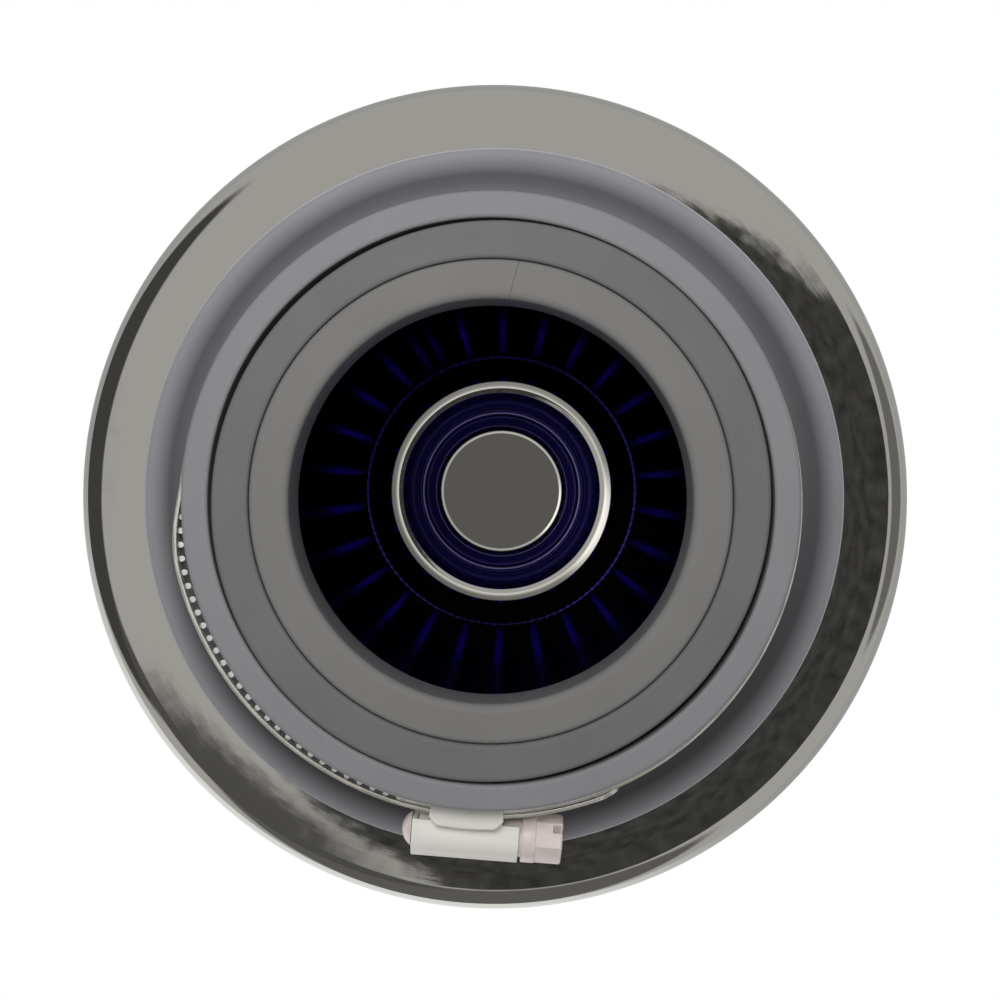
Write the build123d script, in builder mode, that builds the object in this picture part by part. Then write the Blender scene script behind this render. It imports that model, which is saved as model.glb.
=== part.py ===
from build123d import *

import os
from math import acos, atan, atan2, cos, degrees, hypot, pi, radians, sin

# Cone air filter, inlet neck up, standing on its end cap. Millimetres.
# The origin is the centre of the end cap's resting face, +Z runs up the filter's axis,
# and the screw of the hose clamp lies along X on the -Y side of the neck.

# Pipe sizes: bare pipe that the inlet takes, and the step between two nested rings
pipe_d = 63.5
pipe_step = 12.7

# Rubber neck
neck_wall = 4.2
neck_length = 37.0
neck_edge_r = 0.7
bead_width = 13.35
bead_height = 6.0
bead_edge_r = 2.8
root_r = 5.0
waist_wall = 0.7
grip_depth = 2.8
grip_height = 3.0
stop_width = 3.0
stop_height = 3.0

# Rubber reducer rings
reducer_length = 18.0
reducer_edge_r = 0.8
reducer_fit = 0.1
squash = 0.7
squash_angle = 54.5
split_width = 0.25
split_angle = 88.5
split_slant = 4.0

# Pressed steel ends
sheet = 0.8
plate_margin = 13.0
plate_corner_r = 4.6
plate_skirt = 12.0
cap_d = 104.0
cap_corner_r = 3.2
cap_skirt = 12.0
body_height = 158.0

# Pressed centre of the end cap, from its channel inwards
shelf_width = 4.2
channel_lean = 1.4
channel_r = 1.8
ring_width = 3.4
ring_height = 9.7
ring_dip = 0.4
ring_r = 0.6
groove_lean = 3.3
groove_width = 4.0
groove_lift = 0.6
groove_r = 2.2
disc_lean = 2.5
disc_height = 6.0
disc_edge_r = 1.2

# Pleated media: gauze between two wire screens, its folds measured at the base plate
pleat_count = 26
fold_r = 1.3
gauze_t = 0.6
wire_t = 0.25
layer_gap = 0.1
tip_room = 2.0
seat_wall = 1.9
seam_angle = 121.5
seam_spread = 2.9
seam_depth = 9.0

# Polyurethane potting at both ends
bed_t = 2.0
cap_potting_t = 8.0
base_potting_t = 9.0
bond_gap = 0.05

# Hose clamp: strip, saddle, housing and worm screw
band_width = 12.0
band_t = 0.6
band_drop = 6.0
band_seat = 0.05
band_play = 0.5
band_gap = 0.1
run_angle = 175.0
run_length = 10.0
kink_r = 24.0
tongue_length = 5.0
tail_length = 16.3
tail_corner_r = 4.0
worm_pitch = 2.3
slot_width = 1.1
slot_length = 8.0
saddle_length = 11.6
saddle_t = 0.7
saddle_edge_r = 0.5
lip_width = 1.4
lip_cut = 2.1
barrel_length = 17.4
barrel_t = 0.8
barrel_skirt = 2.4
worm_d = 6.6
worm_gap = 0.15
screw_lift = 0.3
screw_fit = 0.05
end_play = 0.2
collar_gap = 0.5
pin_d = 3.6
tip_d = 5.6
tip_length = 1.6
collar_lip = 0.8
collar_length = 2.2
hex_flats = 7.0
hex_length = 4.4
hex_edge_r = 0.4
hex_turn = 39.0
driver_slot_width = 1.2
driver_slot_depth = 1.6
driver_slot_turn = -38.0

# Heights
plate_top = body_height
plate_under = plate_top - sheet
neck_top = plate_top + neck_length
neck_foot = plate_under - grip_height
stop_top = neck_foot + stop_height
bead_top = plate_top + bead_height
reducer_foot = neck_top - reducer_length
pleat_foot = sheet + bed_t
pleat_head = plate_under - bed_t
band_top = neck_top - band_drop
band_foot = band_top - band_width
band_middle = band_foot + band_width / 2

# Radii of the inlet
bore_r = pipe_d / 2
outer_ring_bore_r = bore_r + pipe_step / 2
neck_bore_r = outer_ring_bore_r + pipe_step / 2
neck_r = neck_bore_r + neck_wall
bead_r = neck_r + bead_width
waist_r = neck_r + waist_wall
hole_r = waist_r + bond_gap
grip_r = waist_r + grip_depth
plate_r = bead_r + plate_margin
cap_r = cap_d / 2

# Radii of the pleats, at the middle of the gauze
pack_half = gauze_t / 2 + layer_gap + wire_t
base_tip = plate_r - sheet - tip_room - pack_half
base_valley = grip_r + bond_gap + seat_wall + pack_half
cap_tip = cap_r - sheet - tip_room - pack_half
taper = cap_tip / base_tip
cap_valley = base_valley * taper

# Radii of the end cap's pressed centre, on its outer face
wall_foot_r = cap_valley - pack_half - shelf_width - sheet
ring_out_r = wall_foot_r - channel_lean
ring_in_r = ring_out_r - ring_width
groove_out_r = ring_in_r - groove_lean
groove_in_r = groove_out_r - groove_width
disc_r = groove_in_r - disc_lean

# Clamp: the loose loop hangs down on the neck, so its centre lies below the axis
loop_r = neck_r + band_seat + band_play
clamp_y = -band_play
lap_r = loop_r + band_t + band_gap
foot_r = lap_r + band_t + band_gap
lip_r = foot_r + barrel_t + band_gap
worm_r = worm_d / 2
barrel_in_r = worm_r + worm_gap
barrel_r = barrel_in_r + barrel_t
screw_reach = lap_r + band_t + screw_lift + worm_r
screw_y = clamp_y - screw_reach
saddle_half = band_width / 2 + band_gap
saddle_sweep = degrees(saddle_length / loop_r)
clamp_axis = Axis((0, clamp_y, 0), (0, 0, 1))
screw_axis = Axis((0, screw_y, band_middle), (1, 0, 0))


def corner(sketch, x, y):
    """The vertex of a sketch that lies nearest to a point of it."""
    return sketch.vertices().sort_by_distance((x, y))[0]


# Neck: one moulding, with a groove that grips the hole of the base plate
with BuildPart() as neck:
    with BuildSketch(Plane.XZ) as neck_section:
        with BuildLine():
            Polyline(
                (neck_bore_r, neck_top),
                (neck_r, neck_top),
                (neck_r, bead_top),
                (bead_r, bead_top),
                (bead_r, plate_top),
                (waist_r, plate_top),
                (waist_r, plate_under),
                (grip_r, plate_under),
                (grip_r, neck_foot),
                (neck_bore_r - stop_width, neck_foot),
                (neck_bore_r - stop_width, stop_top),
                (neck_bore_r, stop_top),
                close=True,
            )
        make_face()
        fillet(corner(neck_section, neck_r, bead_top), root_r)
        fillet(corner(neck_section, bead_r, bead_top), bead_edge_r)
        fillet(corner(neck_section, neck_r, neck_top), neck_edge_r)
        fillet(corner(neck_section, neck_bore_r, neck_top), neck_edge_r)
    revolve(axis=Axis.Z)

# Outer reducer: pressed slightly oval, so it stands off the neck on two sides
with BuildPart() as reducer_outer:
    with BuildSketch(Plane.XY.offset(reducer_foot)):
        Ellipse(neck_bore_r - reducer_fit, neck_bore_r - reducer_fit - squash, rotation=squash_angle)
        Circle(outer_ring_bore_r, mode=Mode.SUBTRACT)
    extrude(amount=reducer_length)
    fillet(reducer_outer.edges().group_by(Axis.Z)[-1], reducer_edge_r)

# Inner reducer: a strip bent into a ring, with its closed joint across the wall
with BuildPart() as reducer_inner:
    with BuildSketch(Plane.XY.offset(reducer_foot)):
        Circle(outer_ring_bore_r - reducer_fit)
        Circle(bore_r, mode=Mode.SUBTRACT)
    extrude(amount=reducer_length)
    fillet(reducer_inner.edges().group_by(Axis.Z)[-1], reducer_edge_r)
    with BuildSketch(Plane.XY.offset(reducer_foot)):
        with PolarLocations(bore_r + pipe_step / 4, 1, start_angle=split_angle):
            Rectangle(pipe_step, split_width, rotation=split_slant)
    extrude(amount=reducer_length, mode=Mode.SUBTRACT)

# Base plate: flat pressing with a rounded rim and a skirt
with BuildPart() as base_plate:
    with BuildSketch(Plane.XZ):
        with BuildLine():
            FilletPolyline(
                (hole_r, plate_top),
                (plate_r, plate_top),
                (plate_r, plate_top - plate_skirt),
                radius=plate_corner_r,
            )
            offset(amount=sheet, side=Side.RIGHT)
        make_face()
    revolve(axis=Axis.Z)

# End cap: channel for the potting, raised ring, groove and centre disc in one pressing.
# Bends of its outer face, each with the side on which the sheet's inner face lies.
cap_bends = [
    (disc_r, disc_height, disc_edge_r, 1),
    (groove_in_r, groove_lift, groove_r, -1),
    (groove_out_r, groove_lift, groove_r, -1),
    (ring_in_r, ring_height - ring_dip, ring_r, 1),
    (ring_out_r, ring_height, ring_r, 1),
    (wall_foot_r, 0, channel_r, -1),
    (cap_r, 0, cap_corner_r, -1),
]
with BuildPart() as end_cap:
    with BuildSketch(Plane.XZ) as cap_section:
        with BuildLine():
            Polyline((0, disc_height), *[(x, y) for x, y, _, _ in cap_bends], (cap_r, cap_skirt))
            offset(amount=sheet, side=Side.LEFT, kind=Kind.INTERSECTION)
        make_face()
        for x, y, bend_r, side in cap_bends:
            inner_corner = cap_section.vertices().sort_by_distance((x, y))[1]
            fillet(inner_corner, bend_r + side * sheet)
            fillet(corner(cap_section, x, y), bend_r)
    revolve(axis=Axis.Z)


def polar(radius, angle):
    """Point at a radius and an angle in radians."""
    return Vector(radius * cos(angle), radius * sin(angle))


def fold_ring(share):
    """Fold centres round the axis as (radius, angle, outward), with a double inner fold at the seam.

    The radii are the base's times share, so the flanks between two such rings are flat.
    """
    pitch = 2 * pi / pleat_count
    seam = radians(seam_angle)
    spread = seam_spread / (base_valley + fold_r)
    crest_r = share * (base_tip - fold_r)
    trough_r = share * (base_valley + fold_r)
    folds = [
        (trough_r, seam - spread, False),
        (trough_r + share * seam_depth, seam, True),
        (trough_r, seam + spread, False),
    ]
    for step in range(1, pleat_count):
        folds.append((crest_r, seam + (step - 0.5) * pitch, True))
        folds.append((trough_r, seam + step * pitch, False))
    folds.append((crest_r, seam - 0.5 * pitch, True))
    return folds


def flank(here, ahead, bend_r, shift):
    """Ends of the straight flank between two folds that bend opposite ways."""
    outer, inner = (here, ahead) if here[2] else (ahead, here)
    outer_centre = polar(outer[0], outer[1])
    inner_centre = polar(inner[0], inner[1])
    along = (inner_centre - outer_centre).normalized()
    side = Vector(along.Y, -along.X) * (1 if here[2] else -1)
    turn = acos(2 * bend_r / (inner_centre - outer_centre).length)
    across = along * cos(turn) + side * sin(turn)
    outer_end = outer_centre + across * (bend_r + shift)
    inner_end = inner_centre - across * (bend_r - shift)
    return (outer_end, inner_end) if here[2] else (inner_end, outer_end)


def pleat_section(height, share, shift):
    """Area inside the zigzag line at a height, moved outwards by shift from the gauze's middle."""
    folds = fold_ring(share)
    bend_r = share * fold_r
    count = len(folds)
    flanks = [flank(folds[i], folds[(i + 1) % count], bend_r, shift) for i in range(count)]
    with BuildSketch(Plane.XY.offset(height), mode=Mode.PRIVATE) as area:
        with BuildLine():
            outline = []
            for i, (radius, angle, outward) in enumerate(folds):
                start = flanks[i - 1][1]
                end = flanks[i][0]
                bulge = bend_r + shift if outward else shift - bend_r
                outline.append(ThreePointArc(start, polar(radius + bulge, angle), end, mode=Mode.PRIVATE))
                outline.append(Line(end, flanks[i][1], mode=Mode.PRIVATE))
            add(outline)
        make_face()
    return area.sketch


def pleat_wall(outside, inside):
    """Pleated cone between two shifts of the zigzag line, added to the part being built."""
    for shift, mode in ((outside, Mode.ADD), (inside, Mode.SUBTRACT)):
        low = pleat_section(pleat_foot, taper, shift)
        high = pleat_section(pleat_head, 1, shift)
        loft([low, high], ruled=True, mode=mode)


# Gauze and the two wire screens that are folded with it
with BuildPart() as filter_gauze:
    pleat_wall(gauze_t / 2, -gauze_t / 2)

with BuildPart() as outer_screen:
    pleat_wall(pack_half, pack_half - wire_t)

with BuildPart() as inner_screen:
    pleat_wall(wire_t - pack_half, -pack_half)

# Space that the pleats take up in the potting
with BuildPart() as pleat_pocket:
    pleat_wall(pack_half + bond_gap, -pack_half - bond_gap)

# Potting in the channel of the end cap; its inner side leans like the channel's wall
wall_slope = channel_lean / ring_height
wall_face_r = wall_foot_r + hypot(sheet, sheet * wall_slope) + bond_gap
cap_potting_top = sheet + cap_potting_t
with BuildPart() as cap_potting:
    with BuildSketch(Plane.XZ) as cap_potting_section:
        with BuildLine():
            Polyline(
                (wall_face_r - wall_slope * sheet, sheet),
                (cap_r - sheet - bond_gap, sheet),
                (cap_r - sheet - bond_gap, cap_potting_top),
                (wall_face_r - wall_slope * cap_potting_top, cap_potting_top),
                close=True,
            )
        make_face()
        fillet(corner(cap_potting_section, wall_face_r, sheet), channel_r)
        fillet(corner(cap_potting_section, cap_r, sheet), cap_corner_r)
    revolve(axis=Axis.Z)
    add(pleat_pocket.part, mode=Mode.SUBTRACT)

# Potting under the base plate, round the grip of the neck
base_potting_foot = plate_under - base_potting_t
with BuildPart() as base_potting:
    with BuildSketch(Plane.XZ) as base_potting_section:
        with BuildLine():
            Polyline(
                (grip_r + bond_gap, plate_under),
                (plate_r - sheet - bond_gap, plate_under),
                (plate_r - sheet - bond_gap, base_potting_foot),
                (grip_r + bond_gap, base_potting_foot),
                close=True,
            )
        make_face()
        fillet(corner(base_potting_section, plate_r, plate_under), plate_corner_r)
    revolve(axis=Axis.Z)
    add(pleat_pocket.part, mode=Mode.SUBTRACT)

# Clamp strip: loop on the neck, straight run to a kink, then the slotted lap and its tail.
# All stretches are tangent, so the strip's two faces share their arc centres.
loop_centre = Vector(0, clamp_y)
run_turn = radians(run_angle)
kink_centre = loop_centre + polar(loop_r - kink_r, run_turn) + polar(run_length, run_turn + pi / 2)
lap_foot_y = clamp_y - lap_r
kink_foot_y = lap_foot_y + kink_r
lap_y = (kink_centre.length**2 - kink_foot_y**2) / (2 * (kink_centre.Y - kink_foot_y))
lap_centre = Vector(0, lap_y)
lap_arc_r = lap_y - lap_foot_y
lap_start = degrees(atan2(kink_centre.Y - lap_y, kink_centre.X)) % 360
lap_end = 270 + degrees((barrel_length / 2 + tail_length) / lap_arc_r)
tongue_start = -90 - degrees((saddle_length / 2 + tongue_length) / loop_r)
slot_step = degrees(worm_pitch / lap_arc_r)
slot_count = int((lap_end - lap_start) / slot_step) - 1
slot_slant = degrees(atan(worm_pitch / (pi * worm_d)))


def strip_face(grow):
    """Line along one face of the strip, grow outside its inner face."""
    loop = CenterArc(loop_centre, loop_r + grow, tongue_start, run_angle - tongue_start)
    bend = CenterArc(kink_centre, kink_r + grow, run_angle, lap_start - run_angle)
    Line(loop @ 1, bend @ 0)
    lap = CenterArc(lap_centre, lap_arc_r + grow, lap_start, lap_end - lap_start)
    return loop @ 0, lap @ 1


with BuildPart() as clamp_band:
    with BuildSketch(Plane.XY.offset(band_foot)):
        with BuildLine():
            tongue_in, tail_in = strip_face(0)
            tongue_out, tail_out = strip_face(band_t)
            Line(tongue_in, tongue_out)
            Line(tail_in, tail_out)
        make_face()
    extrude(amount=band_width)
    tail_middle = (tail_in + tail_out) / 2 + Vector(0, 0, band_middle)
    tail_edges = clamp_band.faces().sort_by_distance(tail_middle)[0].edges()
    fillet(tail_edges.filter_by(Axis.Z, reverse=True), tail_corner_r)
    with Locations((0, lap_y, band_middle)):
        with PolarLocations(
            lap_arc_r + band_t / 2,
            slot_count,
            start_angle=lap_start + slot_step,
            angular_range=slot_count * slot_step,
        ):
            Box(
                band_t + band_gap,
                slot_width,
                slot_length,
                rotation=(slot_slant, 0, 0),
                mode=Mode.SUBTRACT,
            )


def clamp_plane(angle):
    """Upright plane through the middle of the clamp: x runs outwards at the angle, y runs up."""
    turn = radians(angle)
    outwards = (cos(turn), sin(turn), 0)
    sideways = (sin(turn), -cos(turn), 0)
    return Plane((0, clamp_y, band_middle), x_dir=outwards, z_dir=sideways)


saddle_plane = clamp_plane(-90 - saddle_sweep / 2)
screw_plane = clamp_plane(-90)

# Saddle: channel under the strip, its edges folded over the feet of the housing
saddle_in_r = loop_r - band_gap - saddle_t
saddle_out_r = lip_r + saddle_t
saddle_middle_r = (saddle_in_r + saddle_out_r) / 2
with BuildPart() as clamp_saddle:
    with BuildSketch(saddle_plane) as saddle_section:
        with Locations((saddle_middle_r, 0)):
            RectangleRounded(saddle_out_r - saddle_in_r, 2 * (saddle_half + saddle_t), saddle_edge_r)
        with Locations(((loop_r - band_gap + lip_r) / 2, 0)):
            Rectangle(lip_r - loop_r + band_gap, 2 * saddle_half, mode=Mode.SUBTRACT)
        with Locations((saddle_out_r, 0)):
            Rectangle(2 * saddle_t + band_gap, 2 * (saddle_half - lip_width), mode=Mode.SUBTRACT)
    revolve(axis=clamp_axis, revolution_arc=saddle_sweep)
    # The corners of the lips are cut off at a slant
    saddle_corners = [polar(saddle_out_r, radians(-90 + end * saddle_sweep / 2)) for end in (-1, 1)]
    with Locations((0, clamp_y, band_middle)):
        with Locations(*saddle_corners):
            Box(lip_cut, lip_cut, 3 * saddle_half, rotation=(0, 0, 45), mode=Mode.SUBTRACT)

# Housing: barrel over the worm, feet under the saddle's lips, end wall for the screw's pin
with BuildPart() as clamp_housing:
    with BuildSketch(screw_plane):
        with Locations((screw_reach, 0)):
            Circle(barrel_r)
        with Locations(((foot_r + screw_reach) / 2, 0)):
            Rectangle(screw_reach - foot_r, 2 * barrel_r)
        with Locations((screw_reach, 0)):
            Circle(barrel_in_r, mode=Mode.SUBTRACT)
        with Locations((screw_reach - worm_d, 0)):
            Rectangle(2 * worm_d, 2 * barrel_in_r, mode=Mode.SUBTRACT)
    extrude(amount=barrel_length / 2, both=True)
    with BuildSketch(saddle_plane):
        with Locations((foot_r + barrel_t / 2, 0)):
            Rectangle(barrel_t, 2 * (saddle_half - band_gap))
            Rectangle(barrel_t, 2 * barrel_in_r, mode=Mode.SUBTRACT)
    revolve(axis=clamp_axis, revolution_arc=saddle_sweep)
    with BuildSketch(screw_plane.offset(barrel_length / 2)):
        with Locations((screw_reach, 0)):
            Circle(barrel_r)
            Circle(pin_d / 2 + screw_fit, mode=Mode.SUBTRACT)
        with Locations((foot_r - worm_d, 0)):
            Rectangle(2 * worm_d, 2 * barrel_r, mode=Mode.SUBTRACT)
    extrude(amount=-barrel_t)
    # Outside the saddle the barrel ends a little inwards of the screw's axis
    barrel_end = (barrel_length - saddle_length) / 2
    with Locations((0, screw_y + barrel_skirt + worm_r, band_middle)):
        with GridLocations(saddle_length + barrel_end, 0, 2, 1):
            Box(barrel_end, worm_d, 3 * barrel_r, mode=Mode.SUBTRACT)

# Screw: riveted tip, pin, worm core, collar and slotted hexagon head
tip_x = -barrel_length / 2 - end_play
worm_start_x = -barrel_length / 2 + barrel_t + end_play
collar_x = barrel_length / 2 + collar_gap
head_x = collar_x + collar_length
head_end_x = head_x + hex_length
collar_r = worm_r + collar_lip
tip_r = tip_d / 2
tip_ball_r = (tip_length**2 + tip_r**2) / (2 * tip_length)
with BuildPart() as clamp_screw:
    with BuildSketch(Plane((0, screw_y, band_middle), x_dir=(1, 0, 0), z_dir=(0, 0, 1))):
        with BuildLine():
            RadiusArc((tip_x, tip_r), (tip_x - tip_length, 0), -tip_ball_r)
            Polyline(
                (tip_x - tip_length, 0),
                (head_x, 0),
                (head_x, collar_r),
                (collar_x, collar_r),
                (collar_x, worm_r),
                (worm_start_x, worm_r),
                (worm_start_x, pin_d / 2),
                (tip_x, pin_d / 2),
                (tip_x, tip_r),
            )
        make_face()
    revolve(axis=screw_axis)
    with BuildSketch(Plane((head_x, screw_y, band_middle), x_dir=(0, -1, 0), z_dir=(1, 0, 0))):
        RegularPolygon(hex_flats / 2, 6, major_radius=False, rotation=hex_turn)
    extrude(amount=hex_length)
    fillet(clamp_screw.edges().group_by(Axis.X)[-1], hex_edge_r)
    with Locations((head_end_x, screw_y, band_middle)):
        Box(
            2 * driver_slot_depth,
            driver_slot_width,
            2 * hex_flats,
            rotation=(driver_slot_turn, 0, 0),
            mode=Mode.SUBTRACT,
        )

pieces = {
    "neck": neck,
    "reducer_outer": reducer_outer,
    "reducer_inner": reducer_inner,
    "base_plate": base_plate,
    "base_potting": base_potting,
    "filter_gauze": filter_gauze,
    "outer_screen": outer_screen,
    "inner_screen": inner_screen,
    "cap_potting": cap_potting,
    "end_cap": end_cap,
    "clamp_band": clamp_band,
    "clamp_saddle": clamp_saddle,
    "clamp_housing": clamp_housing,
    "clamp_screw": clamp_screw,
}
os.makedirs("parts", exist_ok=True)
for name, piece in pieces.items():
    piece.part.label = name
    export_step(piece.part, f"parts/{name}.step")
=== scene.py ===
# %% [markdown]
# # A cone air filter, seen into its inlet
# The construction model of the filter is already packed, so this lesson only dresses it. Round
# pressings and mouldings are spun again with a finer mesh, because bright metal shows every
# facet. The folded media is drawn from its rule, with real wires. Everything is in metres, in
# the frame of the construction model: +Z runs up the axis and the inlet is on top.

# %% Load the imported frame
from math import acos, atan2, cos, hypot, pi, radians, sin, tan

import bmesh
import bpy
from mathutils import Matrix, Vector


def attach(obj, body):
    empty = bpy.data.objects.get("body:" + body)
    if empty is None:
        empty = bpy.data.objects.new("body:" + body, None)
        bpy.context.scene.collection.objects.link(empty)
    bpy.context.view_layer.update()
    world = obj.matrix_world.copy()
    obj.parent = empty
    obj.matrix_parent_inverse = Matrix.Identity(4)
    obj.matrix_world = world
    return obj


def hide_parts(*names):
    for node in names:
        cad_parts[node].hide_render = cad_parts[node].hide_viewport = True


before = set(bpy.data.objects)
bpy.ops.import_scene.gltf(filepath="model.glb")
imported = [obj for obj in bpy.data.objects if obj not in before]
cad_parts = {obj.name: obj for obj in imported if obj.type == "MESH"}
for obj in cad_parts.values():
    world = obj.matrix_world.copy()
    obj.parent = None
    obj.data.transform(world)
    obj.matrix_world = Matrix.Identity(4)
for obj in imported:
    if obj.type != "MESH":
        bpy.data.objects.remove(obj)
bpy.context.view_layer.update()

MM = 0.001

# %% [markdown]
# ## Tools for colours and nodes
# Colours are written as sRGB hex codes, as a paint chart gives them, and one function turns them
# to the linear values that a renderer mixes. One more function adds a node to any tree, sets its
# properties and fills its inputs, either with a value or with a link.

# %% Colour and node helpers
def linear(code, alpha=1.0):
    """Linear colour of an sRGB hex code."""
    shares = [int(code[i : i + 2], 16) / 255 for i in (0, 2, 4)]
    return [v / 12.92 if v <= 0.04045 else ((v + 0.055) / 1.055) ** 2.4 for v in shares] + [alpha]


def add(tree, kind, inputs=None, **settings):
    """One node of a tree, with its settings, and with values or links on its inputs."""
    node = tree.nodes.new(kind)
    for name, value in settings.items():
        setattr(node, name, value)
    for key, value in (inputs or {}).items():
        if isinstance(value, bpy.types.NodeSocket):
            tree.links.new(value, node.inputs[key])
        else:
            node.inputs[key].default_value = value
    return node


def new_finish(name):
    """A new material with its tree, its shader and the object coordinates in metres."""
    material = bpy.data.materials.new(name)
    material.use_nodes = True
    tree = material.node_tree
    place = add(tree, "ShaderNodeTexCoord").outputs["Object"]
    return material, tree, tree.nodes["Principled BSDF"], place


# %% [markdown]
# ## Camera
# The photograph looks down the bore from about a quarter of a metre above the inlet. The camera
# could be aimed with a constraint, but its place and lean are known, so its matrix is written
# directly. It stands a few millimetres off the axis, so the far cap sits off the middle of the
# bore. The lens follows from how much smaller the far cap looks than it is.

# %% Camera over the inlet
PHOTO_TURN = radians(4.5)
LENS, SENSOR = 57.6, 36
LENS_SPOT = Vector((3.63, 4.30, 445)) * MM
LEAN_RIGHT, LEAN_UP = 0.0099, 0.0148
camera_right = Vector((cos(PHOTO_TURN), sin(PHOTO_TURN), 0))
camera_up = Vector((-sin(PHOTO_TURN), cos(PHOTO_TURN), 0))
camera_data = bpy.data.cameras.new("camera")
camera_data.lens = LENS
camera_data.sensor_width = SENSOR
camera = bpy.data.objects.new("camera", camera_data)
bpy.context.scene.collection.objects.link(camera)
sight = (Vector((0, 0, -1)) - camera_right * LEAN_RIGHT - camera_up * LEAN_UP).normalized()
side = (camera_right - sight * camera_right.dot(sight)).normalized()
turn = Matrix((side, side.cross(sight), -sight)).transposed().to_4x4()
camera.matrix_world = Matrix.Translation(LENS_SPOT) @ turn
bpy.context.scene.camera = camera
print("camera at", list(camera.location))

# %% [markdown]
# ## Studio
# A round lamp beside the lens lights the rubber from above, and a weak tent fills its shadows.
# Bright chromium shows its surroundings instead: a grey ceiling with the lamp in it, and dark flags
# round it. Real flags and walls could be modelled, but painting them on the world needs no more
# objects. So the world gives mirror rays that room, and all other rays the plain tent. The camera
# itself sees white.

# %% Floor
floor_mesh = bpy.data.meshes.new("floor")
FLOOR_REACH, FLOOR_Z = 2.0, -0.1 * MM
corners = [(-1, -1), (1, -1), (1, 1), (-1, 1)]
floor_mesh.from_pydata(
    [(x * FLOOR_REACH, y * FLOOR_REACH, FLOOR_Z) for x, y in corners], [], [(0, 1, 2, 3)]
)
floor = bpy.data.objects.new("floor", floor_mesh)
bpy.context.scene.collection.objects.link(floor)
paper, tree, shader, place = new_finish("white_studio_paper")
shader.inputs["Base Color"].default_value = linear("F4F3F1")
shader.inputs["Roughness"].default_value = 0.9
rays = add(tree, "ShaderNodeLightPath").outputs
# In a mirror the paper is grey, and white only towards the lower left of the picture
bright_way = (camera_right * -0.45 - camera_up * 0.89).to_tuple()
heading = add(tree, "ShaderNodeVectorMath", {0: place}, operation="NORMALIZE")
facing = add(
    tree, "ShaderNodeVectorMath", {0: heading.outputs[0], 1: bright_way}, operation="DOT_PRODUCT"
)
mirrored = add(
    tree,
    "ShaderNodeMapRange",
    {0: facing.outputs["Value"], 1: 0.35, 2: 0.95, 3: 0.4, 4: 0.9},
    interpolation_type="SMOOTHSTEP",
)
level = add(
    tree,
    "ShaderNodeMix",
    {0: rays["Is Glossy Ray"], 2: 1.0, 3: mirrored.outputs[0]},
    data_type="FLOAT",
)
seen = add(
    tree,
    "ShaderNodeMath",
    {0: rays["Is Camera Ray"], 1: rays["Is Transmission Ray"]},
    operation="MAXIMUM",
)
seen_or_mirrored = add(
    tree, "ShaderNodeMath", {0: seen.outputs[0], 1: rays["Is Glossy Ray"]}, operation="MAXIMUM"
)
glow = add(tree, "ShaderNodeEmission", {"Color": linear("FFFFFF"), "Strength": level.outputs[0]})
mixed = add(
    tree,
    "ShaderNodeMixShader",
    {0: seen_or_mirrored.outputs[0], 1: shader.outputs[0], 2: glow.outputs[0]},
)
tree.links.new(mixed.outputs[0], tree.nodes["Material Output"].inputs["Surface"])
floor_mesh.materials.append(paper)
print("floor", 2 * FLOOR_REACH, "m wide")

# %% World
world = bpy.data.worlds.new("studio")
bpy.context.scene.world = world
world.use_nodes = True
tree = world.node_tree
tree.nodes.clear()
towards = add(tree, "ShaderNodeTexCoord").outputs["Generated"]
upright = add(
    tree,
    "ShaderNodeVectorRotate",
    {"Vector": towards, "Angle": -PHOTO_TURN},
    rotation_type="Z_AXIS",
)
share = add(tree, "ShaderNodeSeparateXYZ", {0: upright.outputs[0]})
zenith = add(tree, "ShaderNodeMath", {0: share.outputs["Z"]}, operation="ARCCOSINE")
degrees_off = add(tree, "ShaderNodeMath", {0: zenith.outputs[0], 1: 180 / pi}, operation="MULTIPLY")
flat = add(tree, "ShaderNodeCombineXYZ", {"X": share.outputs["X"], "Y": share.outputs["Y"]})
heading = add(tree, "ShaderNodeVectorMath", {0: flat.outputs[0]}, operation="NORMALIZE")
# Map of the ceiling in degrees from straight up, x to the right of the picture and y to its top
even_map = add(
    tree,
    "ShaderNodeVectorMath",
    {0: heading.outputs[0], "Scale": degrees_off.outputs[0]},
    operation="SCALE",
)
# Flags of cloth have no sharp outline, so the map is shaken a little, by a degree or two
SHAKE = 5.0
crumpled = {"Vector": even_map.outputs[0], "Detail": 7.0, "Roughness": 0.7}
shake = add(tree, "ShaderNodeTexNoise", {**crumpled, "Scale": 1.2})
centred = add(
    tree, "ShaderNodeVectorMath", {0: shake.outputs["Color"], 1: (0.5, 0.5, 0.5)}, operation="SUBTRACT"
)
ceiling_map = add(
    tree,
    "ShaderNodeVectorMath",
    {0: centred.outputs[0], 1: (SHAKE, SHAKE, 0), 2: even_map.outputs[0]},
    operation="MULTIPLY_ADD",
)


def ceiling_disc(centre, radius, edge, shaken=True):
    """1 inside a round patch of the ceiling, falling to 0 over its soft edge, all in degrees."""
    away = add(
        tree,
        "ShaderNodeVectorMath",
        {0: (ceiling_map if shaken else even_map).outputs[0], 1: (*centre, 0)},
        operation="DISTANCE",
    )
    return add(
        tree,
        "ShaderNodeMapRange",
        {0: away.outputs["Value"], 1: radius - edge / 2, 2: radius + edge / 2, 3: 1, 4: 0},
        interpolation_type="SMOOTHSTEP",
    ).outputs[0]


def painted(below, level, mask):
    """The light level below, replaced by another level where the mask is 1."""
    return add(tree, "ShaderNodeMix", {0: mask, 2: below, 3: level}, data_type="FLOAT").outputs[0]


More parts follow.
